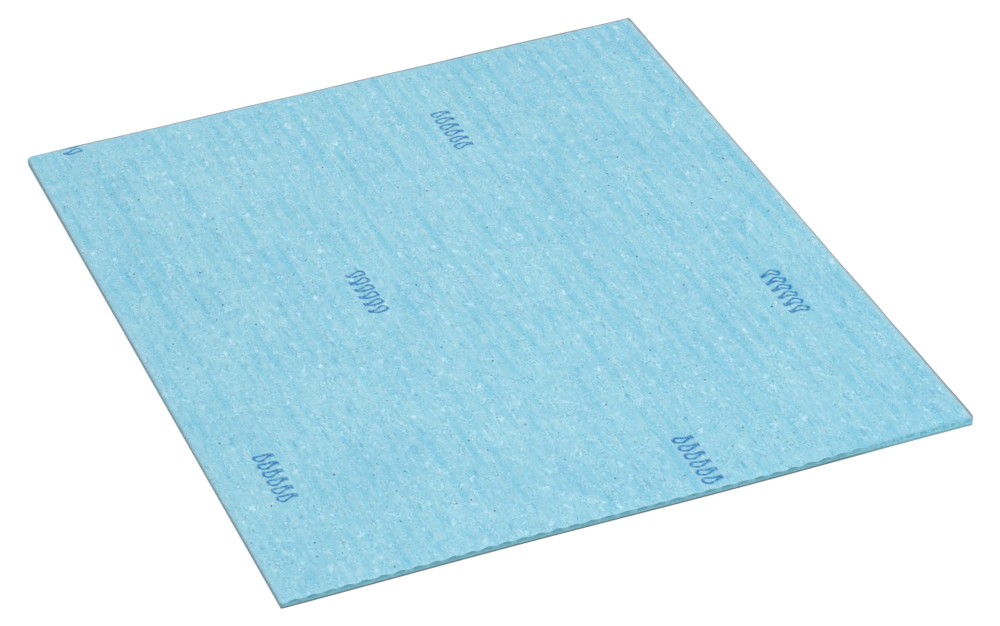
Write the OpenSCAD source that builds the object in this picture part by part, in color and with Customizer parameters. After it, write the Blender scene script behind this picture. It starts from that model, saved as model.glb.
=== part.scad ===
// Sponge cloth: one sheet of cellulose sponge and cotton fibre, cast with ribs
// on its upper face, pressed dry and die-cut to size.
//
// Sizes are in millimetres. The origin is the centre of the flat underside,
// with +X across the ribs, +Y along them and +Z up.

/* [Sheet] */
// Width of the sheet, across the ribs
sheet_width = 205; // [120:5:310]
// Length of the sheet, along the ribs
sheet_length = 260; // [120:5:400]
// Thickness of the sheet, halfway between crests and grooves
sheet_thickness = 2.15; // [1.5:0.05:6]

/* [Ribs] */
// Distance from one rib's crest to the next
rib_pitch = 5; // [3:0.5:10]
// Height of an average crest above the grooves beside it
rib_height = 0.5; // [0.2:0.05:1]
// Share of that height by which ribs swell and fade across the sheet
rib_swell = 0.35; // [0:0.05:0.6]
// Distance over which the ribs swell and fade once
swell_length = 130; // [60:5:200]
// Height by which the whole face rises and dips between one rib and another
face_drift = 0.06; // [0:0.01:0.1]
// Distance over which the face rises and dips once
drift_length = 47; // [20:1:90]

/* [Corners] */
// Rounding of the two corners that the die cuts square
corner_round = 0.5; // [0.2:0.1:5]
// How far the two trimmed corners are cut back across the sheet
trim_across = 2.6; // [0.5:0.1:12]
// How far the two trimmed corners are cut back along the sheet
trim_along = 2.1; // [0.5:0.1:12]

/* [Hidden] */

// Straight facets that one rib's crest and groove are drawn with
rib_facets = 12;
// Facets round each corner
corner_facets = 6;
// Half the width of the cast web: whole ribs, past the sheet by at least one
cast_half = rib_pitch * (ceil(sheet_width / 2 / rib_pitch) + 1);
// Length of the cast web, past the sheet by one rib's width at each end
cast_length = sheet_length + 2 * rib_pitch;
// Reach of the die above and below the cast web's faces
die_overshoot = 2 * (rib_height + face_drift);

// Height of the ribs at x, as a share of rib_height: lowest one rib right of the middle
function swell(x) = 1 - rib_swell * cos(360 * (x - rib_pitch) / swell_length);

// Slow rise and dip of the whole face at x
function drift(x) = face_drift * sin(360 * x / drift_length);

// Height of the upper face at x: an even wave with a crest in the middle of the sheet
function face_z(x) =
    sheet_thickness + drift(x) + rib_height / 2 * swell(x) * cos(360 * x / rib_pitch);

// A quarter ellipse round one corner of the sheet, going anticlockwise.
// Quadrant 0 is the corner at +X +Y, 1 at -X +Y, 2 at -X -Y and 3 at +X -Y.
function corner(quadrant, across, along) =
    let (side_x = quadrant == 0 || quadrant == 3 ? 1 : -1,
         side_y = quadrant < 2 ? 1 : -1)
    [for (step = [0 : corner_facets])
        let (angle = 90 * (quadrant + step / corner_facets))
        [side_x * (sheet_width / 2 - across) + across * cos(angle),
         side_y * (sheet_length / 2 - along) + along * sin(angle)]];

// Section of the cast web: flat below, ribbed above
module web_section() {
    step = rib_pitch / rib_facets;
    polygon(concat(
        [[-cast_half, 0], [cast_half, 0]],
        [for (x = [cast_half : -step : -cast_half - step / 2]) [x, face_z(x)]]
    ));
}

// The web as it is cast, wider and longer than the sheet, with its ribs along Y
module cast_web() {
    rotate([90, 0, 0])
        linear_extrude(height = cast_length, center = true)
            web_section();
}

// Outline that the die cuts: two corners square and two trimmed
module die_outline() {
    polygon(concat(
        corner(0, corner_round, corner_round),
        corner(1, trim_across, trim_along),
        corner(2, corner_round, corner_round),
        corner(3, trim_across, trim_along)
    ));
}

// The sheet that the die cuts from the web
module sponge_cloth() {
    color("#98CFE1")
        intersection() {
            cast_web();
            translate([0, 0, -die_overshoot])
                linear_extrude(height = sheet_thickness + 2 * die_overshoot)
                    die_outline();
        }
}

sponge_cloth();
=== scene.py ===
# %% [markdown]
# # A sponge cloth, laid flat
#
# The real thing is one sheet, about 2 mm thick. Wood cellulose and cotton fibre are mixed into a
# paste, cast on a ribbed belt, set, washed and pressed dry, and a die then cuts the web into sheets.
# So there is one piece to make here: a closed mesh with a ribbed upper face, a cut edge all round
# and a flat underside. Its finish is the larger part of the work: mottled dye, cotton flecks, hairs,
# pores and small printed marks.
#
# Lengths are in metres. They are in millimetres where a name ends in _MM, and in the patterns of a
# finish, where sizes such as a fibre's are easier to read that way.

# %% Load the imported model
import math

import bmesh
import bpy
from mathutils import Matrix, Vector, noise


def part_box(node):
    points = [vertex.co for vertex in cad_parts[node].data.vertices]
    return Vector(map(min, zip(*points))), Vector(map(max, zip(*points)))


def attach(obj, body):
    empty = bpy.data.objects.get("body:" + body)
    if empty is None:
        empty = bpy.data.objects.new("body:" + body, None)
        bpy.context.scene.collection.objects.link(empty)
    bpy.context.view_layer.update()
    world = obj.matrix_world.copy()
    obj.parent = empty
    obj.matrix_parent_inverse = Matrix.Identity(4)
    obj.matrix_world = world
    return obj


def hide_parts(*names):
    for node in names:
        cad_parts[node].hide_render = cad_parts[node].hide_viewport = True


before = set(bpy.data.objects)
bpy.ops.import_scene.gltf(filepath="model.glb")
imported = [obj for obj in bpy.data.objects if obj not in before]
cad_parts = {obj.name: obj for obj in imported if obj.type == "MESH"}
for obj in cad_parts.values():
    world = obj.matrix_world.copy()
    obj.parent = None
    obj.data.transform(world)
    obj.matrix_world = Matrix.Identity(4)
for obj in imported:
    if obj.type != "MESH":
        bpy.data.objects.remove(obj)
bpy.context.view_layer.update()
SHEET_LOW, SHEET_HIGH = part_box("sponge_cloth")
WIDTH, LENGTH = (SHEET_HIGH - SHEET_LOW).xy
print(f"the sheet is {WIDTH * 1000:.1f} x {LENGTH * 1000:.1f} x {SHEET_HIGH.z * 1000:.2f} mm")

# %% [markdown]
# ## Three helpers
#
# Colours are picked on a screen, so they are written as sRGB hex values, and the shader wants linear
# light. One function converts them. The second adds a shader node: it sets the node's own settings,
# then gives each input either a plain value or a link from another node's output. The third is the
# smooth step that both nature and modellers use wherever one thing fades into another.

# %% Colour, node and fade helpers
MM = 0.001


def colour(hex_value):
    """Linear RGBA of an sRGB hex colour such as "#98CFE1"."""
    channels = [int(hex_value[i:i + 2], 16) / 255 for i in (1, 3, 5)]
    return [c / 12.92 if c <= 0.04045 else ((c + 0.055) / 1.055) ** 2.4 for c in channels] + [1.0]


def add_node(tree, kind, inputs=None, **settings):
    """Add a node. inputs maps a socket's name or number to a value or to an output to link."""
    node = tree.nodes.new(kind)
    for name, value in settings.items():
        setattr(node, name, value)
    for socket, value in (inputs or {}).items():
        if isinstance(value, bpy.types.NodeSocket):
            tree.links.new(value, node.inputs[socket])
        else:
            node.inputs[socket].default_value = value
    return node


def fade(low, high, value):
    """0 below low, 1 above high, and a smooth step between."""
    t = min(max((value - low) / (high - low), 0.0), 1.0)
    return t * t * (3 - 2 * t)


# %% [markdown]
# ## The camera
#
# A product picture of a flat sheet is taken from well back with a long lens, so that the far side is
# hardly smaller than the near side. The camera stands to the left of the front edge, looks down at
# about a third of a right angle, and is rolled a little, so that no edge lies level. Its place and
# turn are given as numbers and not by aiming it at a target, because the roll matters as much.

# %% Camera
camera_data = bpy.data.cameras.new("camera")
camera_data.sensor_width = 36.0
camera_data.lens = 154.562
camera = bpy.data.objects.new("camera", camera_data)
bpy.context.scene.collection.objects.link(camera)
camera.location = (-0.33436, -1.03118, 0.67881)
camera.rotation_euler = [math.radians(a) for a in (57.4938, 3.2937, -20.4700)]
bpy.context.scene.camera = camera
print(f"camera {camera.location.length:.2f} m from the sheet, {camera_data.lens:.0f} mm lens")

# %% [markdown]
# ## Floor and light
#
# The sheet is matt and pale, and it was lit without hard shadows. A large softbox overhead gives the
# upper face its even light, and a pale world fills in the cut edges, which then stay a little darker
# than the face. The Standard view transform keeps the picked colours as they are, where a filmic one
# would wash out the pale blue.
#
# The floor is frosted glass with light behind it. Its grey base returns only part of the light that
# falls on it, so a shadow there takes little away, and the glow brings it up to white. A plain white
# floor would show the sheet's shadow more strongly.

# %% Floor
FLOOR_HALF = 3.0
FLOOR_GLOW = 0.80


def new_material(name):
    """An empty node material, its tree, and a Principled shader that is already on its output."""
    material = bpy.data.materials.new(name)
    material.use_nodes = True
    tree = material.node_tree
    tree.nodes.clear()
    shader = add_node(tree, "ShaderNodeBsdfPrincipled")
    add_node(tree, "ShaderNodeOutputMaterial", {"Surface": shader.outputs["BSDF"]})
    return material, tree, shader


# Frosted glass lit from below: an even white with no gloss, on which shadows nearly vanish
glass, _, glass_shader = new_material("Lit frosted glass")
glass_shader.inputs["Base Color"].default_value = colour("#8A8A8A")
glass_shader.inputs["Emission Color"].default_value = colour("#FFFFFF")
glass_shader.inputs["Emission Strength"].default_value = FLOOR_GLOW
glass_shader.inputs["Roughness"].default_value = 1.0
glass_shader.inputs["Specular IOR Level"].default_value = 0.0

bm = bmesh.new()
bmesh.ops.create_grid(bm, x_segments=1, y_segments=1, size=FLOOR_HALF)
floor_mesh = bpy.data.meshes.new("studio_floor")
bm.to_mesh(floor_mesh)
bm.free()
floor = bpy.data.objects.new("studio_floor", floor_mesh)
bpy.context.scene.collection.objects.link(floor)
floor.data.materials.append(glass)
print(f"{floor.name}: {2 * FLOOR_HALF:.0f} m wide, glow {FLOOR_GLOW}")

# %% Light
SOFTBOX_SIDE = 2.4
SOFTBOX_HEIGHT = 2.0
SOFTBOX_SHIFT = (0.4, -0.8)  # towards the camera and a little to the right
SOFTBOX_POWER = 28.0
FILL_STRENGTH = 0.6

softbox_data = bpy.data.lights.new("softbox", type="AREA")
softbox_data.shape = "SQUARE"
softbox_data.size = SOFTBOX_SIDE
softbox_data.energy = SOFTBOX_POWER
softbox = bpy.data.objects.new("softbox", softbox_data)
bpy.context.scene.collection.objects.link(softbox)
softbox.location = (*SOFTBOX_SHIFT, SOFTBOX_HEIGHT)

world = bpy.data.worlds.new("pale studio")
world.use_nodes = True
world.node_tree.nodes["Background"].inputs["Color"].default_value = (1.0, 1.0, 1.0, 1.0)
world.node_tree.nodes["Background"].inputs["Strength"].default_value = FILL_STRENGTH
bpy.context.scene.world = world
bpy.context.scene.view_settings.view_transform = "Standard"
print(f"softbox {SOFTBOX_SIDE} m wide at {SOFTBOX_HEIGHT} m, fill {FILL_STRENGTH}")

# %% [markdown]
# ## The form of the ribbed face
#
# The belt that the paste is cast on presses a wave of ribs into it, 5 mm from crest to crest. They
# don't run quite true to the die's cut: they wander by a few millimetres from the back of the sheet
# to the front. Pressing also leaves some stretches of rib taller than others, and the rims at the
# front and back are pressed down. Along the front, where the wall is seen, a short table says how far
# the rim is down and how much of the ribs is left there.
#
# All of this is a formula of the place on the sheet, so the mesh can be as fine as it needs to be,
# and the material can count across the ribs in the same way to put its dye in the same grooves.

# %% Rib formula
SHEET_THICKNESS = 2.15 * MM  # halfway between crests and grooves
RIB_PITCH = 5.0 * MM
RIB_HEIGHT = 0.5 * MM
RIB_SWELL = 0.35
SWELL_LENGTH = 130 * MM
FACE_DRIFT = 0.06 * MM
DRIFT_LENGTH = 47 * MM
BACK_SINK = 0.28 * MM  # how far the back rim is pressed down
RIM_REACH = 5 * MM  # width of the band that is pressed down
# along the front edge: place along X, how far the rim is pressed down, share of the ribs' height left
FRONT_RIM_MM = [
    (-102.5, 0.23, 0.9), (-40, 0.23, 0.9), (-12, 0.18, 0.7), (-6, 0.18, 0.3), (4, 0.18, 0.3), (8, 0.20, 0.6),
    (32, 0.24, 0.6), (38, 0.28, 1.0), (70, 0.30, 1.0), (82, 0.30, 0.3), (102.5, 0.35, 0.2)]


def across_ribs(x, y):
    """Place across the belt that the sheet was cast on, where crests lie at whole pitches."""
    right, back = x / 0.1, y / 0.1  # in steps of 100 mm from the middle
    wander_mm = 1.18 + 0.81 * right - 0.69 * back + 0.75 * right * back - 0.86 * right * right
    return x - wander_mm * MM


def patch(x, y, size, seed):
    """Smooth noise from about -1 to 1 that changes over a distance of size."""
    return 1.6 * noise.noise(Vector((x / size, y / size, seed)))


def front_rim(x):
    """How far the front rim is pressed down at x, and the share of their height that its ribs have."""
    for (x0, sink0, share0), (x1, sink1, share1) in zip(FRONT_RIM_MM, FRONT_RIM_MM[1:]):
        if x <= x1 * MM:
            t = fade(x0 * MM, x1 * MM, x)
            return (sink0 + (sink1 - sink0) * t) * MM, share0 + (share1 - share0) * t
    return FRONT_RIM_MM[-1][1] * MM, FRONT_RIM_MM[-1][2]


def face_height(x, y):
    """Height of the upper face above the underside."""
    share = 1 - RIB_SWELL * math.cos(math.tau * (x - RIB_PITCH) / SWELL_LENGTH)
    share *= 1 + 0.35 * patch(x, y, 22 * MM, 3.7)
    by_back = 1 - fade(0.0, RIM_REACH, LENGTH / 2 - y)
    by_front = 1 - fade(0.0, RIM_REACH, LENGTH / 2 + y)
    front_sink, front_share = front_rim(x)
    share = share * (1 - by_back - by_front) + front_share * by_front
    sink = BACK_SINK * by_back + front_sink * by_front
    wave = math.cos(math.tau * across_ribs(x, y) / RIB_PITCH + 0.5 * patch(x, y, 16 * MM, 9.1))
    drift = FACE_DRIFT * math.sin(math.tau * x / DRIFT_LENGTH)
    unevenness = 0.03 * MM * patch(x, y, 2.6 * MM, 5.3) + 0.04 * MM * patch(x, y, 9 * MM, 1.9)
    return SHEET_THICKNESS + drift + unevenness - sink + RIB_HEIGHT / 2 * share * wave


samples = [face_height(i * MM, j * MM) / MM for i in range(-100, 101) for j in range(-128, 129, 8)]
print(f"face height {min(samples):.2f} to {max(samples):.2f} mm")

# %% [markdown]
# ## The die-cut blank
#
# A grid is the natural start for a sheet: its rows follow the ribs, and it is as fine across them as
# a rib needs, nine faces to each. The die leaves two corners nearly square and one trimmed, and the
# corner at the front right tore into a long shallow bevel. Cutting the grid with upright planes does
# to the mesh what the die does to the web. Each corner is a few planes that touch a quarter of an
# ellipse.

# %% Blank
FACE_COLUMNS = 368
FACE_ROWS = 232
SQUARE_CORNER = (0.5 * MM, 0.5 * MM)
TRIMMED_CORNER = (2.6 * MM, 2.1 * MM)
TORN_CORNER = (0.85 * MM, 3.9 * MM)
CORNER_CUTS = 4
CORNER_REACH = 4 * MM  # only faces this near a cut are cut
# side along X, side along Y, how far the corner is cut back across and along the sheet
CORNERS = [
    (1, 1, SQUARE_CORNER), (-1, 1, TRIMMED_CORNER), (-1, -1, SQUARE_CORNER), (1, -1, TORN_CORNER)]


def trim_corner(bm, side_x, side_y, cut_back):
    """Cut one corner off the grid with planes that touch a quarter of an ellipse."""
    across, along = cut_back
    for step in range(CORNER_CUTS):
        angle = math.radians(90) * (step + 0.5) / CORNER_CUTS
        place = Vector((side_x * (WIDTH / 2 - across + across * math.cos(angle)),
                        side_y * (LENGTH / 2 - along + along * math.sin(angle)), 0))
        outward = Vector((side_x * math.cos(angle) / across, side_y * math.sin(angle) / along, 0))
        near = [f for f in bm.faces if (f.calc_center_median() - place).length < CORNER_REACH]
        parts = {v for f in near for v in f.verts} | {e for f in near for e in f.edges} | set(near)
        bmesh.ops.bisect_plane(bm, geom=list(parts), dist=0.01 * MM, plane_co=place,
                               plane_no=outward.normalized(), clear_outer=True)


bm = bmesh.new()
bmesh.ops.create_grid(bm, x_segments=FACE_COLUMNS, y_segments=FACE_ROWS, size=0.5)
bmesh.ops.scale(bm, vec=(WIDTH, LENGTH, 1), verts=bm.verts)
for side_x, side_y, cut_back in CORNERS:
    trim_corner(bm, side_x, side_y, cut_back)
print(f"blank: {len(bm.faces)} faces, {sum(e.is_boundary for e in bm.edges)} edges round the cut")

# %% [markdown]
# ## The cut edge
#
# The blade goes straight down, but a blade is never quite straight and sponge gives way under it. So
# three things are done to the outline and the wall:
# - each side strays from its straight line by a few tenths of a millimetre, most at the front,
# - the wall is a little ragged, and its foot lies slightly inside its rim,
# - towards the front right corner the sheet tore instead of being cut: there the rim is set back
#   unevenly, and at the corner itself the foot is tucked in under it.
#
# The outline strays first, while the blank is still flat. The rim is then extruded to make the wall.
# The face is raised to its ribs, which gives the wall its scalloped top, and cuts across the wall let
# noise push it in and out.

# %% Straying cut
STRAY_REACH = 6 * MM  # width of the band that moves with the cut
RIGHT_BOW, RIGHT_INSET = 0.45 * MM, 0.16 * MM  # out at both ends, in at the middle
LEFT_INSET = 0.08 * MM
FRONT_SHIFT = 0.26 * MM
FRONT_SLANT = 0.26 * MM  # further out at the right, over one length of the sheet
FRONT_WAVE, FRONT_WAVE_LENGTH, FRONT_WAVE_MIDDLE = 0.25 * MM, 130 * MM, 28 * MM
BACK_BULGE, BACK_INSET = 0.25 * MM, 0.07 * MM


def strayed(x, y):
    """Where a place near the cut goes when the blade's line strays."""
    right = RIGHT_BOW * (2 * y / LENGTH) ** 2 - RIGHT_INSET
    right *= 1 - fade(0, STRAY_REACH, WIDTH / 2 - x)
    left = LEFT_INSET * (1 - fade(0, STRAY_REACH, WIDTH / 2 + x))
    front_wave = math.cos(math.tau * (x - FRONT_WAVE_MIDDLE) / FRONT_WAVE_LENGTH)
    front = FRONT_SHIFT + FRONT_SLANT * x / LENGTH + FRONT_WAVE * front_wave
    front *= 1 - fade(0, STRAY_REACH, LENGTH / 2 + y)
    back = BACK_BULGE * fade(0, 60 * MM, x) * (1 - fade(80 * MM, 95 * MM, x)) - BACK_INSET
    back *= 1 - fade(0, STRAY_REACH, LENGTH / 2 - y)
    return x + right + left, y - front + back


moved = []
for vert in bm.verts:
    before = vert.co.copy()
    vert.co.xy = strayed(*vert.co.xy)
    moved.append((vert.co - before).length)
print(f"the cut strays by up to {max(moved) / MM:.2f} mm")

# %% Walls and ribs
WALL_CUTS = 3
RAGGED = 0.09 * MM
RAGGED_COARSE, RAGGED_FINE = 0.9 * MM, 0.4 * MM  # sizes of the wall's bumps
FOOT_INSET = 0.08 * MM
CORE_INSET = 3 * MM
TEAR_FROM, TEAR_TO = 40 * MM, 92 * MM  # where along X the tear begins and is complete
TEAR_SETBACK = 0.9 * MM
TEAR_REACH = 2.5 * MM  # width of the band that is set back with the rim
TUCK = 0.45 * MM
TUCK_FROM, TUCK_TO = 97 * MM, 102 * MM
TUCK_LENGTH = 8 * MM


def outward_at(x, y):
    """Level direction that points out of the sheet from a place on its wall."""
    half_x, half_y = WIDTH / 2 - CORE_INSET, LENGTH / 2 - CORE_INSET
    return Vector((x - min(max(x, -half_x), half_x), y - min(max(y, -half_y), half_y), 0)).normalized()


def torn_back(x, y):
    """How far the rim is set back at x by the tear."""
    uneven = 1 + 0.35 * patch(x, y, 3 * MM, 7.7) + 0.3 * patch(x, y, 1.3 * MM, 2.2)
    return TEAR_SETBACK * fade(TEAR_FROM, TEAR_TO, x) * uneven


face_verts = list(bm.verts)
rim_edges = [e for e in bm.edges if e.is_boundary]
wall = bmesh.ops.extrude_edge_only(bm, edges=rim_edges)["geom"]
foot_verts = {g for g in wall if isinstance(g, bmesh.types.BMVert)}
foot_edges = [g for g in wall if isinstance(g, bmesh.types.BMEdge)]

for vert in face_verts:
    x, y = vert.co.xy
    from_front = y + LENGTH / 2
    if from_front < TEAR_REACH:
        vert.co.y += torn_back(x, y) * (1 - from_front / TEAR_REACH)
    vert.co.z = face_height(x, y)

for vert in foot_verts:
    x, y = vert.co.xy
    vert.co -= outward_at(x, y) * FOOT_INSET
    vert.co.x -= TUCK * fade(TUCK_FROM, TUCK_TO, x) * (1 - fade(0, TUCK_LENGTH, y + LENGTH / 2))

uprights = [e for e in bm.edges if (e.verts[0] in foot_verts) != (e.verts[1] in foot_verts)]
cuts = bmesh.ops.subdivide_edges(bm, edges=uprights, cuts=WALL_CUTS, use_grid_fill=True)
wall_verts = {g for g in cuts["geom_inner"] if isinstance(g, bmesh.types.BMVert)}
for vert in wall_verts:
    push = noise.noise(vert.co / RAGGED_COARSE) + 0.5 * noise.noise(vert.co / RAGGED_FINE)
    vert.co += outward_at(*vert.co.xy) * RAGGED * push
print(f"wall: {len(uprights)} uprights, {len(wall_verts)} vertices between rim and foot")

# %% [markdown]
# ## The underside
#
# The face that lay on the flat side of the press is smooth, so it needs no fine mesh. A second and
# coarser grid lies inside the foot of the wall, and a band of triangles between them closes the sheet.

# %% Underside
UNDER_COLUMNS = 40
UNDER_ROWS = 50
UNDER_INSET = 3 * MM

under = bmesh.ops.create_grid(bm, x_segments=UNDER_COLUMNS, y_segments=UNDER_ROWS, size=0.5)["verts"]
bmesh.ops.scale(bm, vec=(WIDTH - 2 * UNDER_INSET, LENGTH - 2 * UNDER_INSET, 1), verts=under)
under = set(under)
under_border = [e for e in bm.edges if e.is_boundary and e.verts[0] in under]
bmesh.ops.triangle_fill(bm, edges=foot_edges + under_border, use_beauty=True, normal=(0, 0, -1))
bmesh.ops.recalc_face_normals(bm, faces=bm.faces)
open_edges = sum(not e.is_manifold for e in bm.edges)
surface = sum(f.calc_area() for f in bm.faces)
print(f"closed sheet: {len(bm.faces)} faces, {open_edges} open edges, {surface * 1e4:.0f} cm2 of surface")

# %% [markdown]
# ## Maps for the material
#
# Three things in the finish follow the sheet and not plain space. Dye gathers in the grooves, so one
# map counts a place across the ribs and along them. Each printed mark needs to know how far a place
# is from the middle of the mark, so a second map holds that, and lies far off everywhere else. And
# the cut edge changes colour from its rim down, so an attribute holds how far below the rim a vertex
# is. The web was printed before it was cut, so the middle of the first mark lies past the back edge.

# %% Maps
# middle of each mark along X and Y, and which way its row faces
MARK_PLACES_MM = [(-88.0, 137.0, 1), (25.0, 86.6, -1), (-30.7, 6.8, 1),
                  (81.3, -46.1, 1), (-85.5, -73.6, -1), (24.4, -115.7, -1)]
MARK_REACH_MM = 20
FAR_OFF = 1.0

web_layer = bm.loops.layers.uv.new("cast_web")
mark_layer = bm.loops.layers.uv.new("mark_place")
rim_layer = bm.verts.layers.float.new("below_rim")


def place_in_mark(x, y):
    """Place in the nearest printed mark, along its row and up it, or far off where none is near."""
    for middle_x, middle_y, way in MARK_PLACES_MM:
        off_x, off_y = x - middle_x * MM, y - middle_y * MM
        if math.hypot(off_x, off_y) < MARK_REACH_MM * MM:
            return way * off_y, -way * off_x
    return FAR_OFF, FAR_OFF


web_place, mark_place = {}, {}
for vert in bm.verts:
    x, y, z = vert.co
    web_place[vert] = (across_ribs(x, y), y)
    mark_place[vert] = place_in_mark(x, y)
    vert[rim_layer] = max(0.0, face_height(x, y) - z)
for face in bm.faces:
    for loop in face.loops:
        loop[web_layer].uv = web_place[loop.vert]
        loop[mark_layer].uv = mark_place[loop.vert]
in_marks = sum(place != (FAR_OFF, FAR_OFF) for place in mark_place.values())
print(f"{len(MARK_PLACES_MM)} marks, with {in_marks} vertices near them")

# %% Faces by finish
RIBBED, CUT, SMOOTH = range(3)
STEEP = 0.6  # upward part of a normal, above which a face is part of the ribbed face

for face in bm.faces:
    face.material_index = CUT
    if face.normal.z > STEEP:
        face.material_index = RIBBED
    elif face.normal.z < -STEEP:
        face.material_index = SMOOTH
    face.smooth = True
for edge in bm.edges:
    finishes = {f.material_index for f in edge.link_faces}
    edge.smooth = len(finishes) == 1

sheet_mesh = bpy.data.meshes.new("sponge_sheet")
bm.to_mesh(sheet_mesh)
bm.free()
sheet = bpy.data.objects.new("sponge_sheet", sheet_mesh)
bpy.context.scene.collection.objects.link(sheet)
print(f"{sheet.name}: {len(sheet_mesh.polygons)} faces")

# %% [markdown]
# ## What the finish is made of
#
# Cellulose sponge is dyed in the paste, so its colour is never even. Seen close, the face has
# - dye in soft clouds, drawn out along the ribs, and paler or deeper by a few shades,
# - deeper streaks, where dye has settled in a stretch of groove,
# - flecks and threads of cotton, which take less dye and stay nearly white,
# - a few loose hairs, dark and pale, and open pores that look dark,
# - a fine grain over everything.
#
# Each of these is one small function that returns a mask from 0 to 1. The masks are then laid over
# the base colour one after another, as glazes are, so each can be tuned by itself. Every size below
# is the size of the real thing in millimetres, because the place that is handed in is in millimetres.

# %% Patterns
TO_MM = (1000, 1000, 1000)
CENTRE = (0.5, 0.5, 0.5)  # middle of a noise colour


def patches(tree, place, across, along, low, high, detail=0.0, roughness=0.5, seed=0.0):
    """Soft patches of a width across the ribs and a length along them: 0 below low, 1 above high."""
    sized = add_node(tree, "ShaderNodeMapping", {
        "Vector": place, "Location": (seed, -seed, 0.7 * seed),
        "Scale": (1 / across, 1 / along, 1 / across)})
    field = add_node(tree, "ShaderNodeTexNoise", {
        "Vector": sized.outputs["Vector"], "Scale": 1.0, "Detail": detail, "Roughness": roughness})
    return add_node(tree, "ShaderNodeMapRange", {
        "Value": field.outputs["Fac"], "From Min": low, "From Max": high},
        interpolation_type="SMOOTHSTEP").outputs["Result"]


def flecks(tree, place, spacing, across, along, share, turn, seed):
    """Long spots, one in some of the cells that are about spacing apart, each turned its own way."""
    moved = add_node(tree, "ShaderNodeMapping", {"Vector": place, "Location": (seed, 2 * seed, 0)})
    cells = add_node(tree, "ShaderNodeTexVoronoi", {
        "Vector": moved.outputs["Vector"], "Scale": 1 / spacing, "Randomness": 1.0}, feature="F1")
    chance = add_node(tree, "ShaderNodeSeparateColor", {"Color": cells.outputs["Color"]})
    offset = add_node(tree, "ShaderNodeVectorMath", {
        0: moved.outputs["Vector"], 1: cells.outputs["Position"]}, operation="SUBTRACT")
    angle = add_node(tree, "ShaderNodeMath", {
        0: chance.outputs["Red"], 1: 2 * turn, 2: -turn}, operation="MULTIPLY_ADD")
    turned = add_node(tree, "ShaderNodeVectorRotate", {
        "Vector": offset.outputs["Vector"], "Angle": angle.outputs[0]}, rotation_type="Z_AXIS")
    sized = add_node(tree, "ShaderNodeVectorMath", {
        0: turned.outputs["Vector"], 1: (2 / across, 2 / along, 0)}, operation="MULTIPLY")
    reach = add_node(tree, "ShaderNodeVectorMath", {0: sized.outputs["Vector"]}, operation="LENGTH")
    shape = add_node(tree, "ShaderNodeMapRange", {
        "Value": reach.outputs["Value"], "From Min": 1.25, "From Max": 0.3},
        interpolation_type="SMOOTHSTEP")
    chosen = add_node(tree, "ShaderNodeMath", {
        0: chance.outputs["Green"], 1: share}, operation="LESS_THAN")
    strength = add_node(tree, "ShaderNodeMath", {
        0: chance.outputs["Blue"], 1: 0.7, 2: 0.3}, operation="MULTIPLY_ADD")
    return all_of(tree, shape.outputs["Result"], chosen.outputs[0], strength.outputs[0])


def hairs(tree, place, across, along, width, kept):
    """Thin lines, drawn out along the ribs: where smooth noise crosses its middle, in some places only."""
    sized = add_node(tree, "ShaderNodeMapping", {"Vector": place, "Scale": (1 / across, 1 / along, 1)})
    field = add_node(tree, "ShaderNodeTexNoise", {
        "Vector": sized.outputs["Vector"], "Scale": 1.0, "Detail": 0.0})
    signed = add_node(tree, "ShaderNodeMath", {0: field.outputs["Fac"], 1: 0.5}, operation="SUBTRACT")
    off_line = add_node(tree, "ShaderNodeMath", {0: signed.outputs[0]}, operation="ABSOLUTE")
    thin = add_node(tree, "ShaderNodeMapRange", {
        "Value": off_line.outputs[0], "From Min": 0.35 * width / across, "From Max": 0.1 * width / across},
        interpolation_type="SMOOTHSTEP")
    return all_of(tree, thin.outputs["Result"], kept)


def all_of(tree, *masks):
    """Product of masks and plain strengths: full only where every one of them is."""
    product = masks[0]
    for mask in masks[1:]:
        product = add_node(tree, "ShaderNodeMath", {0: product, 1: mask}, operation="MULTIPLY").outputs[0]
    return product


def laid_over(tree, under, hex_value, *masks):
    """A colour laid over another through the product of some masks."""
    return add_node(tree, "ShaderNodeMix", {
        0: all_of(tree, *masks), 6: under, 7: colour(hex_value)}, data_type="RGBA").outputs[2]


print("patterns: patches, flecks and hairs")

# %% [markdown]
# ## The ribbed face: dye
#
# The face is read through the map that counts across the ribs, so that its streaks lie in the
# grooves of the mesh. Everything on it is drawn out two or three times as far along the ribs as
# across them, because the paste was dragged that way on the belt.
#
# The first glazes are pale clouds, a slow change of tone, a little teal, and a felt of fine fibres.
# Then dye that has settled: a groove holds it only in stretches, and more of it the nearer the
# stretch lies to the back right corner. Last, the whole face is slightly deeper towards the front.

# %% Ribbed face: where a place lies
# Dyed cellulose sponge, cast on a ribbed belt: quite matt, mottled, with cotton in it
ribbed, tree, shader = new_material("Cellulose sponge ribbed face")
web = add_node(tree, "ShaderNodeUVMap", uv_map="cast_web").outputs["UV"]
place = add_node(tree, "ShaderNodeMapping", {"Vector": web, "Scale": TO_MM}).outputs["Vector"]

web_x = add_node(tree, "ShaderNodeSeparateXYZ", {"Vector": place}).outputs["X"]
rib_angle = add_node(tree, "ShaderNodeMath", {
    0: web_x, 1: math.tau / (RIB_PITCH / MM)}, operation="MULTIPLY").outputs[0]
rib_wave = add_node(tree, "ShaderNodeMath", {0: rib_angle}, operation="COSINE").outputs[0]
groove = add_node(tree, "ShaderNodeMapRange", {
    "Value": rib_wave, "From Min": 1.0, "From Max": -1.0}).outputs["Result"]

on_sheet = add_node(tree, "ShaderNodeTexCoord").outputs["Object"]
on_sheet = add_node(tree, "ShaderNodeSeparateXYZ", {"Vector": on_sheet})
sheet_x, sheet_y = on_sheet.outputs["X"], on_sheet.outputs["Y"]
print(f"places: {len(tree.nodes)} nodes")

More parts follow.
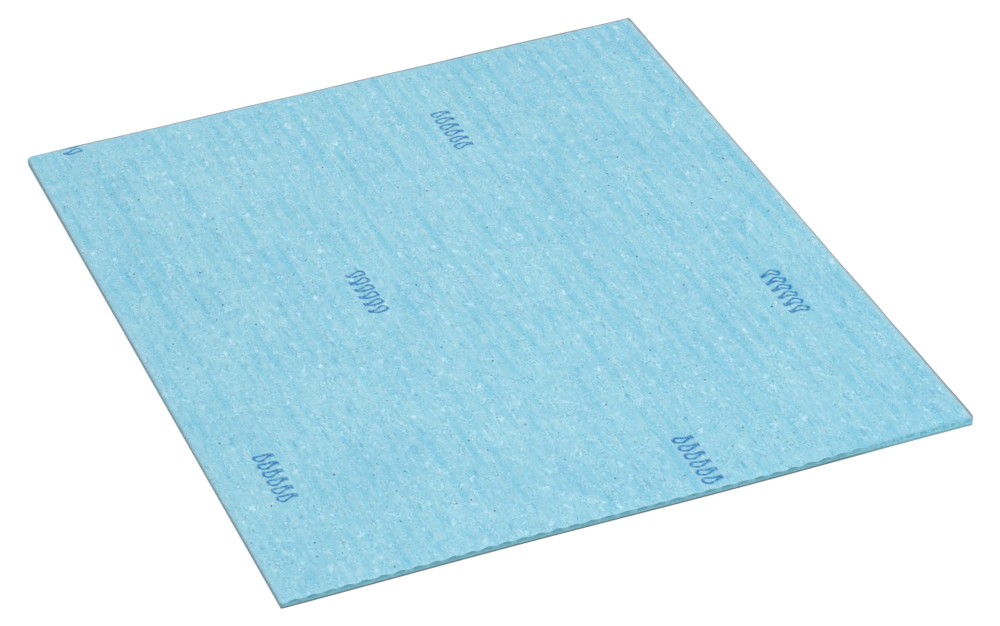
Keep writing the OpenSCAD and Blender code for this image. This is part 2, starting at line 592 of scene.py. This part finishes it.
# %% Ribbed face: dye
share_across = add_node(tree, "ShaderNodeMath", {0: sheet_x, 1: 1 / WIDTH}, operation="MULTIPLY")
to_back_right = add_node(tree, "ShaderNodeMath", {
    0: sheet_y, 1: 1 / LENGTH, 2: share_across.outputs[0]}, operation="MULTIPLY_ADD").outputs[0]
settled = patches(tree, place, 5.0, 26.0, 0.20, 0.8, seed=14.0)
settled = add_node(tree, "ShaderNodeMath", {
    0: to_back_right, 1: 0.28, 2: settled}, operation="MULTIPLY_ADD", use_clamp=True).outputs[0]

clouds = patches(tree, place, 1.65, 5.0, 0.10, 0.90, detail=1.0, roughness=0.5)
slow = patches(tree, place, 15.0, 32.0, 0.1, 0.9, detail=1.0, seed=3.0)
teal = patches(tree, place, 2.6, 5.0, 0.45, 0.75, detail=1.0, seed=23.0)
felt = patches(tree, place, 0.60, 1.1, 0.2, 0.8, detail=2.0, roughness=0.7, seed=17.0)

to_front_edge = add_node(tree, "ShaderNodeMapRange", {
    "Value": sheet_y, "From Min": LENGTH / 2, "From Max": -LENGTH / 2}).outputs["Result"]
right_part = add_node(tree, "ShaderNodeMapRange", {
    "Value": sheet_x, "From Min": 0.0, "From Max": 45 * MM}).outputs["Result"]
front_part = add_node(tree, "ShaderNodeMapRange", {
    "Value": sheet_y, "From Min": -70 * MM, "From Max": -110 * MM}).outputs["Result"]

body = laid_over(tree, colour("#83C8E1"), "#C6E6F2", clouds, 0.46)
body = laid_over(tree, body, "#CAF2EC", slow, 0.22)
body = laid_over(tree, body, "#86D2D8", teal, 0.16)
body = laid_over(tree, body, "#DDF2FA", felt, 0.07)
body = laid_over(tree, body, "#66C2DE", groove, settled, 0.46)
body = laid_over(tree, body, "#62BEDC", to_front_edge, 0.075)
body = laid_over(tree, body, "#62BEDC", right_part, front_part, 0.06)
print(f"with dye: {len(tree.nodes)} nodes")

# %% [markdown]
# ## The ribbed face: cotton, hairs and pores
#
# Cotton shows as tufts and as smaller wisps. A plain oval would look stamped, so the place that both
# read is first stirred by noise of about their own size, which bends every oval into a thread or a
# curl. Hairs and the smallest pores keep to patches, because loose fibres and bubbles gather.

# %% Ribbed face: cotton
COTTON = "#F4FAFE"

stir = add_node(tree, "ShaderNodeTexNoise", {"Vector": place, "Scale": 0.7, "Detail": 2.0})
stir = add_node(tree, "ShaderNodeVectorMath", {
    0: stir.outputs["Color"], 1: CENTRE}, operation="SUBTRACT")
stirred = add_node(tree, "ShaderNodeVectorMath", {
    0: stir.outputs["Vector"], 1: (2.4, 3.6, 0.0), 2: place}, operation="MULTIPLY_ADD").outputs["Vector"]
wool = patches(tree, place, 2.4, 4.4, 0.56, 0.82, detail=1.0, seed=29.0)
tufts = flecks(tree, stirred, 6.0, 1.4, 3.4, 0.17, 0.6, 31.0)
wisps = flecks(tree, stirred, 3.0, 0.75, 2.0, 0.23, 0.9, 47.0)

body = laid_over(tree, body, COTTON, wool, 0.16)
body = laid_over(tree, body, COTTON, tufts, 0.30)
body = laid_over(tree, body, COTTON, wisps, 0.22)
print(f"with cotton: {len(tree.nodes)} nodes")

# %% Ribbed face: streaks, hairs and pores
scarce = patches(tree, place, 6.0, 6.0, 0.50, 0.56, seed=61.0)
crowd = patches(tree, place, 9.0, 12.0, 0.48, 0.60, seed=71.0)
wide_streaks = flecks(tree, place, 9.0, 1.6, 6.5, 0.40, 0.15, 53.0)
streak_cores = flecks(tree, place, 9.0, 0.6, 2.8, 0.25, 0.15, 53.0)
pale_hairs = hairs(tree, place, 2.0, 9.0, 0.30, scarce)
dark_hairs = hairs(tree, place, 3.4, 11.0, 0.26, scarce)
small_pores = flecks(tree, place, 1.9, 0.36, 0.70, 0.34, 0.6, 83.0)
deep_pores = flecks(tree, place, 7.0, 0.58, 1.0, 0.15, 0.6, 89.0)

body = laid_over(tree, body, "#62B4D6", wide_streaks, 0.33)
body = laid_over(tree, body, "#48A4C8", streak_cores, 0.45)
body = laid_over(tree, body, "#D6EAF4", pale_hairs, 0.16)
body = laid_over(tree, body, "#5F9CBC", dark_hairs, 0.18)
body = laid_over(tree, body, "#4F7C90", small_pores, crowd, 0.75)
body = laid_over(tree, body, "#1C4A62", deep_pores, 1.0)
print(f"with streaks, hairs and pores: {len(tree.nodes)} nodes")

# %% [markdown]
# ## The ribbed face: rims
#
# The face changes in its last two millimetres. Along the back and the right side a thin grey line
# of painted shade with a paler grey tail darkens the rim, and both are fainter at the left.
# Along the front, fibres are dragged out into a pale fringe, and where the sheet tore the rim is worn
# down to deeper blue. The left side is slightly deeper in colour over its last 50 mm. Each is a
# distance from an edge, turned into a mask.

# %% Ribbed face: distances from the edges
from_middle = add_node(tree, "ShaderNodeMath", {0: sheet_x}, operation="ABSOLUTE").outputs[0]
to_side = add_node(tree, "ShaderNodeMath", {0: WIDTH / 2, 1: from_middle}, operation="SUBTRACT").outputs[0]
to_back = add_node(tree, "ShaderNodeMath", {0: LENGTH / 2, 1: sheet_y}, operation="SUBTRACT").outputs[0]
to_front = add_node(tree, "ShaderNodeMath", {0: LENGTH / 2, 1: sheet_y}, operation="ADD").outputs[0]
to_rim = add_node(tree, "ShaderNodeMath", {0: to_side, 1: to_back}, operation="MINIMUM").outputs[0]
print(f"distances: {len(tree.nodes)} nodes")

# %% Ribbed face: side and back rims
off_left_rim = add_node(tree, "ShaderNodeMapRange", {
    "Value": sheet_x, "From Min": -98 * MM, "From Max": -90 * MM,
    "To Min": 0.3, "To Max": 0.85}).outputs["Result"]
# slightly deeper in colour towards the left side, over its last 50 mm
deeper_left_edge = add_node(tree, "ShaderNodeMapRange", {
    "Value": sheet_x, "From Min": -50 * MM, "From Max": -100 * MM},
    interpolation_type="SMOOTHSTEP").outputs["Result"]
# painted shade: a thin grey line along the back and right rims, with a paler grey tail, fainter at the left
rim_shade_tail = add_node(tree, "ShaderNodeMapRange", {
    "Value": to_rim, "From Min": 2.6 * MM, "From Max": 0.6 * MM},
    interpolation_type="SMOOTHSTEP").outputs["Result"]
rim_shade_line = add_node(tree, "ShaderNodeMapRange", {
    "Value": to_rim, "From Min": 1.0 * MM, "From Max": 0.15 * MM},
    interpolation_type="SMOOTHSTEP").outputs["Result"]

body = laid_over(tree, body, "#72B8D0", deeper_left_edge, 0.12)
# the painted shade along the back and right rims, tail first and then the line
body = laid_over(tree, body, "#BCCDD0", rim_shade_tail, off_left_rim, 0.34)
body = laid_over(tree, body, "#868F94", rim_shade_line, off_left_rim)
print(f"with side and back rims: {len(tree.nodes)} nodes")

# %% Ribbed face: front rim
fringe = add_node(tree, "ShaderNodeMapRange", {
    "Value": to_front, "From Min": 1.4 * MM, "From Max": 0.3 * MM}).outputs["Result"]
fibres = patches(tree, place, 0.55, 1.1, 0.30, 0.70, detail=1.0, seed=41.0)
cut_clean = add_node(tree, "ShaderNodeMapRange", {
    "Value": sheet_x, "From Min": 70 * MM, "From Max": 50 * MM,
    "To Min": 0.05, "To Max": 0.30}).outputs["Result"]
worn_part = add_node(tree, "ShaderNodeMapRange", {
    "Value": sheet_x, "From Min": 55 * MM, "From Max": 80 * MM}).outputs["Result"]
worn_rim = add_node(tree, "ShaderNodeMapRange", {
    "Value": to_front, "From Min": 2.1 * MM, "From Max": 0.9 * MM},
    interpolation_type="SMOOTHSTEP").outputs["Result"]
worn_patches = patches(tree, place, 1.5, 1.5, 0.3, 0.6, detail=1.0, seed=97.0)

body = laid_over(tree, body, "#B9E2EE", fringe, fibres, cut_clean)
body = laid_over(tree, body, "#62B2CC", worn_part, worn_rim, worn_patches, 0.35)
print(f"with the front rim: {len(tree.nodes)} nodes")

# %% [markdown]
# ## The printed marks
#
# The web is printed with small rows of marks in blue ink, which alternate between facing one way and
# the other. Here each row is a plain one: six outlined water drops. A drop is a closed curve whose
# half width at a height y between -1 and 1 is the root of k (1 - y^2) (1 - y)^2, so the width is
# nothing at both ends, and the tip is pointed. Dividing that curve's formula by how fast it changes
# gives a distance in millimetres from the line, and the ink lies where the distance is small. Such a
# sum costs a few nodes and stays sharp at any size.
#
# Ink runs along fibres, so the place that the drops are read at is moved a little by noise, and the
# line's edge is soft. Sponge drinks unevenly, so more noise takes some ink away again.

# %% Printed marks: one row of drops
DROP_COUNT = 6
DROP_PITCH_MM = 4.3
DROP_HALF_WIDTH_MM = 1.2
DROP_HALF_HEIGHT_MM = 2.6
LINE_MM = 0.92
LINE_SOFTNESS_MM = 0.45
ROW_MARGIN = 1.25  # half height, in drops, past which the curve's formula is no longer read
WIDEST = 16 / 27  # k, which makes the half width 1 where the drop is widest, at y = -1/2


def drop_row(tree, place):
    """Mask of a row of drop outlines, from a place along the row and up it in millimetres."""
    parts = add_node(tree, "ShaderNodeSeparateXYZ", {"Vector": place})
    along, up = parts.outputs["X"], parts.outputs["Y"]
    inside = add_node(tree, "ShaderNodeMath", {
        0: along, 1: DROP_PITCH_MM, 2: 0.0}, operation="WRAP").outputs[0]
    inside = add_node(tree, "ShaderNodeMath", {
        0: inside, 1: DROP_PITCH_MM / 2}, operation="SUBTRACT").outputs[0]
    x = add_node(tree, "ShaderNodeMath", {0: inside, 1: DROP_HALF_WIDTH_MM}, operation="DIVIDE").outputs[0]
    y = add_node(tree, "ShaderNodeMath", {0: up, 1: DROP_HALF_HEIGHT_MM}, operation="DIVIDE").outputs[0]

    to_tip = add_node(tree, "ShaderNodeMath", {0: 1.0, 1: y}, operation="SUBTRACT").outputs[0]
    to_bottom = add_node(tree, "ShaderNodeMath", {0: 1.0, 1: y}, operation="ADD").outputs[0]
    to_waist = add_node(tree, "ShaderNodeMath", {0: y, 1: 2.0, 2: 1.0}, operation="MULTIPLY_ADD").outputs[0]
    half_width_squared = all_of(tree, to_tip, to_tip, to_tip, to_bottom, WIDEST)
    off_curve = add_node(tree, "ShaderNodeMath", {
        0: all_of(tree, x, x), 1: half_width_squared}, operation="SUBTRACT").outputs[0]
    size_off = add_node(tree, "ShaderNodeMath", {0: off_curve}, operation="ABSOLUTE").outputs[0]
    slope = add_node(tree, "ShaderNodeCombineXYZ", {
        "X": all_of(tree, x, 2 / DROP_HALF_WIDTH_MM),
        "Y": all_of(tree, to_tip, to_tip, to_waist, 2 * WIDEST / DROP_HALF_HEIGHT_MM)})
    steepness = add_node(tree, "ShaderNodeVectorMath", {0: slope.outputs["Vector"]}, operation="LENGTH")
    distance = add_node(tree, "ShaderNodeMath", {
        0: size_off, 1: steepness.outputs["Value"]}, operation="DIVIDE").outputs[0]
    line = add_node(tree, "ShaderNodeMapRange", {
        "Value": distance, "From Min": (LINE_MM + LINE_SOFTNESS_MM) / 2,
        "From Max": (LINE_MM - LINE_SOFTNESS_MM) / 2}, interpolation_type="SMOOTHSTEP").outputs["Result"]

    along_size = add_node(tree, "ShaderNodeMath", {0: along}, operation="ABSOLUTE").outputs[0]
    in_row = add_node(tree, "ShaderNodeMath", {
        0: along_size, 1: DROP_COUNT * DROP_PITCH_MM / 2}, operation="LESS_THAN").outputs[0]
    height_size = add_node(tree, "ShaderNodeMath", {0: y}, operation="ABSOLUTE").outputs[0]
    near_row = add_node(tree, "ShaderNodeMath", {
        0: height_size, 1: ROW_MARGIN}, operation="LESS_THAN").outputs[0]
    return all_of(tree, line, in_row, near_row)


print(f"each row is {DROP_COUNT * DROP_PITCH_MM:.1f} mm long, with a line {LINE_MM} mm wide")

# %% Printed marks: ink
BLEED_MM = (0.28, 0.28, 0.0)

mark_uv = add_node(tree, "ShaderNodeUVMap", uv_map="mark_place").outputs["UV"]
in_mark = add_node(tree, "ShaderNodeMapping", {"Vector": mark_uv, "Scale": TO_MM}).outputs["Vector"]
bleed = add_node(tree, "ShaderNodeTexNoise", {"Vector": place, "Scale": 1.4, "Detail": 1.0})
bleed = add_node(tree, "ShaderNodeVectorMath", {
    0: bleed.outputs["Color"], 1: CENTRE}, operation="SUBTRACT")
bled = add_node(tree, "ShaderNodeVectorMath", {
    0: bleed.outputs["Vector"], 1: BLEED_MM, 2: in_mark}, operation="MULTIPLY_ADD").outputs["Vector"]
taken = patches(tree, place, 0.9, 1.2, 0.32, 0.62, detail=1.5, seed=67.0)
taken = add_node(tree, "ShaderNodeMapRange", {
    "Value": taken, "To Min": 0.55, "To Max": 1.0}).outputs["Result"]
body = laid_over(tree, body, "#2A7EBA", drop_row(tree, bled), taken)
print(f"with ink: {len(tree.nodes)} nodes")

# %% [markdown]
# ## The ribbed face: shade and grain
#
# A rib that is half a millimetre tall hardly shades itself under a large softbox, so the ribs need
# help to show. The colour is multiplied by three slight waves that repeat once, twice and three
# times in each rib. The second is weaker towards the right. Cotton brightens what it covers, and a
# fine grain, which is stronger in some patches than in others, goes over everything. The felt also
# gives the surface its pile.

# %% Ribbed face: shade of the ribs
to_left = add_node(tree, "ShaderNodeMapRange", {
    "Value": sheet_x, "From Min": 70 * MM, "From Max": -70 * MM,
    "To Min": 0.25, "To Max": 1.0}).outputs["Result"]
# waves in each rib, how strong, at what angle in degrees, and where
RIB_SHADES = [(1, 0.014, 125, 1.0), (2, 0.019, 160, to_left), (3, 0.012, -175, 1.0)]

shade = 1.0
for waves, strength, phase, where in RIB_SHADES:
    swing = add_node(tree, "ShaderNodeMath", {
        0: rib_angle, 1: waves, 2: math.radians(phase)}, operation="MULTIPLY_ADD").outputs[0]
    swing = add_node(tree, "ShaderNodeMath", {0: swing}, operation="COSINE").outputs[0]
    shade = add_node(tree, "ShaderNodeMath", {
        0: all_of(tree, swing, where), 1: strength, 2: shade}, operation="MULTIPLY_ADD").outputs[0]
for cotton, gain in ((tufts, 0.10), (wisps, 0.10)):
    shade = add_node(tree, "ShaderNodeMath", {
        0: cotton, 1: gain, 2: shade}, operation="MULTIPLY_ADD").outputs[0]
print(f"with shade: {len(tree.nodes)} nodes")

# %% Ribbed face: grain and shader
rough_patches = patches(tree, place, 2.8, 4.6, 0.36, 0.70, detail=1.0, seed=73.0)
grain_size = add_node(tree, "ShaderNodeMapRange", {
    "Value": rough_patches, "To Min": 0.06, "To Max": 0.56}).outputs["Result"]
grain = add_node(tree, "ShaderNodeMath", {0: felt, 1: 0.5}, operation="SUBTRACT").outputs[0]
toned = add_node(tree, "ShaderNodeMath", {
    0: grain, 1: grain_size, 2: shade}, operation="MULTIPLY_ADD").outputs[0]
body = add_node(tree, "ShaderNodeVectorMath", {0: body, "Scale": toned}, operation="SCALE")
pile = add_node(tree, "ShaderNodeBump", {"Height": felt, "Distance": 0.06 * MM, "Strength": 0.6})
tree.links.new(body.outputs["Vector"], shader.inputs["Base Color"])
tree.links.new(pile.outputs["Normal"], shader.inputs["Normal"])
shader.inputs["Roughness"].default_value = 0.9
shader.inputs["Specular IOR Level"].default_value = 0.25
sheet_mesh.materials.append(ribbed)
print(f"ribbed face: {len(tree.nodes)} nodes")

# %% [markdown]
# ## The cut edge
#
# The blade opens the sponge's cells, so the wall is rougher than the faces. Its colour comes in
# layers:
# - a pale ground, with painted shade in its upper part that is strongest under the crests,
# - blotches, pale cell walls and dark open cells,
# - a greyer tone on the two sides,
# - where it tore, at the front right, a paler and brighter blue with deeper specks near the top,
# - a grey line of painted shade along the foot, which is weaker where the wall tore.
#
# The wall reads the attribute that tells how far below the rim a place is, the map across the ribs to
# find the crests, and plain object coordinates for its cells, because no map needs to run round the
# corners.

# %% Cut edge: where a place lies
# Cut cellulose sponge: open cells, with painted shade under the ribs' crests and at the foot
cut, tree, shader = new_material("Cellulose sponge cut edge")
place = add_node(tree, "ShaderNodeTexCoord").outputs["Object"]
place = add_node(tree, "ShaderNodeMapping", {"Vector": place, "Scale": TO_MM}).outputs["Vector"]
height = add_node(tree, "ShaderNodeSeparateXYZ", {"Vector": place}).outputs["Z"]
side_place = add_node(tree, "ShaderNodeSeparateXYZ", {"Vector": place}).outputs["X"]
depth = add_node(tree, "ShaderNodeAttribute", attribute_name="below_rim").outputs["Fac"]

web = add_node(tree, "ShaderNodeUVMap", uv_map="cast_web").outputs["UV"]
web_x = add_node(tree, "ShaderNodeSeparateXYZ", {"Vector": web}).outputs["X"]
rib_angle = add_node(tree, "ShaderNodeMath", {
    0: web_x, 1: math.tau / RIB_PITCH}, operation="MULTIPLY").outputs[0]
rib_wave = add_node(tree, "ShaderNodeMath", {0: rib_angle}, operation="COSINE").outputs[0]
print(f"places: {len(tree.nodes)} nodes")

# %% Cut edge: masks
SIDE_FROM_MM = 101.8  # past this the wall belongs to the left or right side

crest = add_node(tree, "ShaderNodeMapRange", {
    "Value": rib_wave, "From Min": -1.7, "From Max": 0.9},
    interpolation_type="SMOOTHSTEP").outputs["Result"]
# painted shade in the wall's upper part; with the crest mask it is strongest under the crests
upper_shade = add_node(tree, "ShaderNodeMapRange", {
    "Value": depth, "From Min": 1.3 * MM, "From Max": 0.6 * MM},
    interpolation_type="SMOOTHSTEP").outputs["Result"]
top_part = add_node(tree, "ShaderNodeMapRange", {
    "Value": depth, "From Min": 1.05 * MM, "From Max": 0.7 * MM},
    interpolation_type="SMOOTHSTEP").outputs["Result"]
# painted shade: a grey line along the foot of the wall
foot = add_node(tree, "ShaderNodeMapRange", {
    "Value": height, "From Min": 0.70, "From Max": 0.34},
    interpolation_type="SMOOTHSTEP").outputs["Result"]
torn = add_node(tree, "ShaderNodeMapRange", {
    "Value": side_place, "From Min": 58.0, "From Max": 84.0},
    interpolation_type="SMOOTHSTEP").outputs["Result"]
not_torn = add_node(tree, "ShaderNodeMath", {0: 1.0, 1: torn}, operation="SUBTRACT").outputs[0]
foot_strength = add_node(tree, "ShaderNodeMapRange", {
    "Value": not_torn, "To Min": 0.5, "To Max": 0.95}).outputs["Result"]
side_size = add_node(tree, "ShaderNodeMath", {0: side_place}, operation="ABSOLUTE").outputs[0]
sides = add_node(tree, "ShaderNodeMath", {
    0: side_size, 1: SIDE_FROM_MM}, operation="GREATER_THAN").outputs[0]
print(f"with masks: {len(tree.nodes)} nodes")

# %% Cut edge: colours and shader
cells = patches(tree, place, 0.55, 0.55, 0.2, 0.8, detail=3.0, roughness=0.75, seed=5.0)
blotches = patches(tree, place, 2.2, 2.2, 0.35, 0.65, detail=1.0, seed=13.0)
voids = patches(tree, place, 0.5, 0.5, 0.60, 0.72, detail=1.0, seed=19.0)
specks = patches(tree, place, 1.3, 1.3, 0.46, 0.60, detail=2.0, seed=27.0)

# pale ground with painted shade in its upper part, under the crests
body = laid_over(tree, colour("#8ACAD8"), "#54A1B7", upper_shade, crest, 0.85)
body = laid_over(tree, body, "#63A9BD", blotches, 0.45)
body = laid_over(tree, body, "#91D8EA", torn, 0.9)
body = laid_over(tree, body, "#88D2E6", torn, top_part, 0.8)
body = laid_over(tree, body, "#3F93B4", torn, top_part, specks, 0.5)
body = laid_over(tree, body, "#A8D8E4", cells, 0.25)
body = laid_over(tree, body, "#4C8EA8", voids, 0.6)
body = laid_over(tree, body, "#93A2A6", sides, 0.5)
# painted shade: the grey line along the foot, weaker where the wall tore
body = laid_over(tree, body, "#6F7D84", foot, foot_strength)
tree.links.new(body, shader.inputs["Base Color"])
holes = add_node(tree, "ShaderNodeBump", {"Height": cells, "Distance": 0.25 * MM, "Strength": 0.8})
tree.links.new(holes.outputs["Normal"], shader.inputs["Normal"])
shader.inputs["Roughness"].default_value = 0.95
shader.inputs["Specular IOR Level"].default_value = 0.15
sheet_mesh.materials.append(cut)
print(f"cut edge: {len(tree.nodes)} nodes")

# %% [markdown]
# ## The underside
#
# Nothing was cast or printed on this face, so it has the same dye in softer clouds and no ink.

# %% Underside finish
# The same sponge where it lay flat: even, matt and faintly mottled
smooth, tree, shader = new_material("Cellulose sponge flat face")
place = add_node(tree, "ShaderNodeTexCoord").outputs["Object"]
place = add_node(tree, "ShaderNodeMapping", {"Vector": place, "Scale": TO_MM}).outputs["Vector"]
under_clouds = patches(tree, place, 2.4, 4.8, 0.08, 0.92, detail=2.5, roughness=0.62, seed=7.0)
under_felt = patches(tree, place, 0.72, 1.6, 0.2, 0.8, detail=3.0, roughness=0.8, seed=37.0)
under_tufts = flecks(tree, place, 5.0, 1.4, 2.8, 0.25, 1.5, 43.0)
body = laid_over(tree, colour("#76C8E0"), "#C4E4EE", under_clouds, 0.55)
body = laid_over(tree, body, "#E4EFF5", under_tufts, under_felt, 0.5)
under_grain = add_node(tree, "ShaderNodeMapRange", {
    "Value": under_felt, "To Min": 0.87, "To Max": 1.11}).outputs["Result"]
body = add_node(tree, "ShaderNodeVectorMath", {0: body, "Scale": under_grain}, operation="SCALE")
tree.links.new(body.outputs["Vector"], shader.inputs["Base Color"])
shader.inputs["Roughness"].default_value = 0.9
shader.inputs["Specular IOR Level"].default_value = 0.25
sheet_mesh.materials.append(smooth)
print(f"{len(sheet_mesh.materials)} finishes on the sheet")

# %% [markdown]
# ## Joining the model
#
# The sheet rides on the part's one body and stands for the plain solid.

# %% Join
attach(sheet, "root")
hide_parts("sponge_cloth")
print(f"{sheet.name} stands for sponge_cloth")

# %% End
print("the sheet is done")
